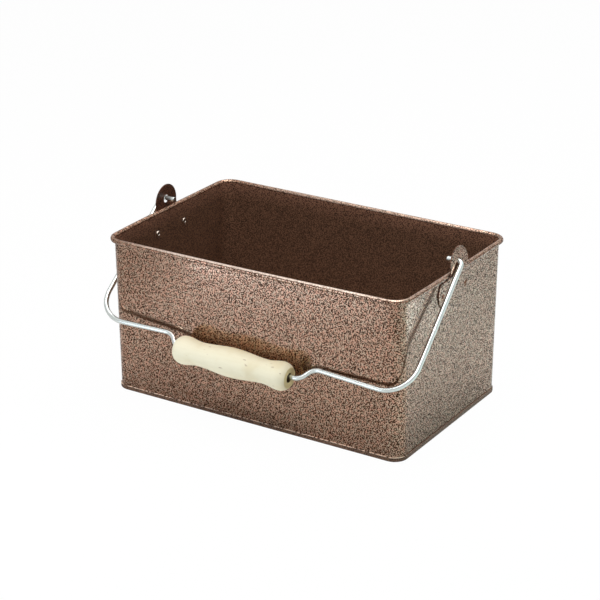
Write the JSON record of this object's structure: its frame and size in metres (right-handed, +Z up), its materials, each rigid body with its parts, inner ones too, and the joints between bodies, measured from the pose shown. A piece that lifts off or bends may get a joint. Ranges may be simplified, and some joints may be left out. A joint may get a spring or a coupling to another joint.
{
  "type": "table caddy",
  "caption": "Rectangular painted sheet-metal table caddy with a rolled rim, riveted ears and a swinging wire bail with a turned wooden grip, for carrying table things.",
  "frame": {"origin": "middle of the underside of the base, on which it stands", "axes": "+X along the tub and the bail's pivot axis, +Z up, -Y towards the front, where the bail hangs"},
  "size_m": [0.2708, 0.1816, 0.142],
  "materials": {
    "hammer_paint": "copper-brown hammer finish with fine dark specks, semi-gloss",
    "plain_steel": "plain drawn wire",
    "rivet_steel": "painted heads, bright clinched tails",
    "zinc_wire": "bright zinc plate",
    "pale_wood": "turned and sanded, unvarnished"
  },
  "bodies": {
    "tub": {"tub_wall": "hammer_paint", "rim_wire": "plain_steel", "base_pan": "hammer_paint", "ear_left": "hammer_paint", "ear_right": "hammer_paint", "rivet_left_front": "rivet_steel", "rivet_left_rear": "rivet_steel", "rivet_right_front": "rivet_steel", "rivet_right_rear": "rivet_steel"},
    "bail": {"bail_wire": "zinc_wire"},
    "grip": {"grip": "pale_wood"}
  },
  "joints": [
    {"name": "bail_swing", "type": "hinge", "parent": "tub", "child": "bail", "pos_m": [0, 0, 0.131], "axis": [-1, 0, 0], "range_deg": [0, 263]},
    {"name": "grip_spin", "type": "hinge", "parent": "bail", "child": "grip", "pos_m": [-0.0057, -0.08846, 0.0523], "axis": [0.9998, 0.0128, -0.0143], "continuous": true}
  ]
}
